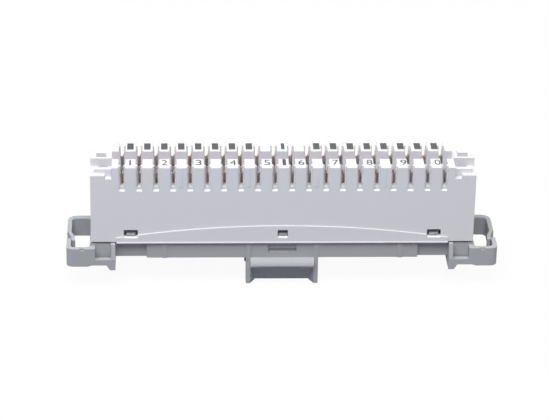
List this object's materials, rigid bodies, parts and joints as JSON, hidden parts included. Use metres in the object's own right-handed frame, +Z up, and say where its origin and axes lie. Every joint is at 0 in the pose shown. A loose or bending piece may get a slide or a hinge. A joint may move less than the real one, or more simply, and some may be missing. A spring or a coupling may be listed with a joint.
{
  "type": "punch down wiring block",
  "caption": "Punch down wiring block with rows of slotted teeth over sprung contacts, a plug channel between the rows, hooked feet, a centre saddle and a wire guide loop at each end.",
  "frame": {"origin": "middle of the face that the centre saddle stands on, on the block's mid planes", "axes": "+X along the block, the numbers reading left to right from the front; +Y to the rear; +Z up towards the tooth tops"},
  "size_m": [0.1246, 0.022, 0.0371],
  "materials": {
    "housing_plastic": "fine satin moulded",
    "base_plastic": "fine satin moulded",
    "contact_metal": "tinned bronze sheet"
  },
  "bodies": {
    "root": {"upper_housing": "housing_plastic", "base": "base_plastic", "contact_front_01": "contact_metal", "contact_front_02": "contact_metal", "contact_front_03": "contact_metal", "contact_front_04": "contact_metal", "contact_front_05": "contact_metal", "contact_front_06": "contact_metal", "contact_front_07": "contact_metal", "contact_front_08": "contact_metal", "contact_front_09": "contact_metal", "contact_front_10": "contact_metal", "contact_front_11": "contact_metal", "contact_front_12": "contact_metal", "contact_front_13": "contact_metal", "contact_front_14": "contact_metal", "contact_front_15": "contact_metal", "contact_front_16": "contact_metal", "contact_front_17": "contact_metal", "contact_front_18": "contact_metal", "contact_front_19": "contact_metal", "contact_front_20": "contact_metal", "contact_rear_01": "contact_metal", "contact_rear_02": "contact_metal", "contact_rear_03": "contact_metal", "contact_rear_04": "contact_metal", "contact_rear_05": "contact_metal", "contact_rear_06": "contact_metal", "contact_rear_07": "contact_metal", "contact_rear_08": "contact_metal", "contact_rear_09": "contact_metal", "contact_rear_10": "contact_metal", "contact_rear_11": "contact_metal", "contact_rear_12": "contact_metal", "contact_rear_13": "contact_metal", "contact_rear_14": "contact_metal", "contact_rear_15": "contact_metal", "contact_rear_16": "contact_metal", "contact_rear_17": "contact_metal", "contact_rear_18": "contact_metal", "contact_rear_19": "contact_metal", "contact_rear_20": "contact_metal"}
  },
  "joints": []
}
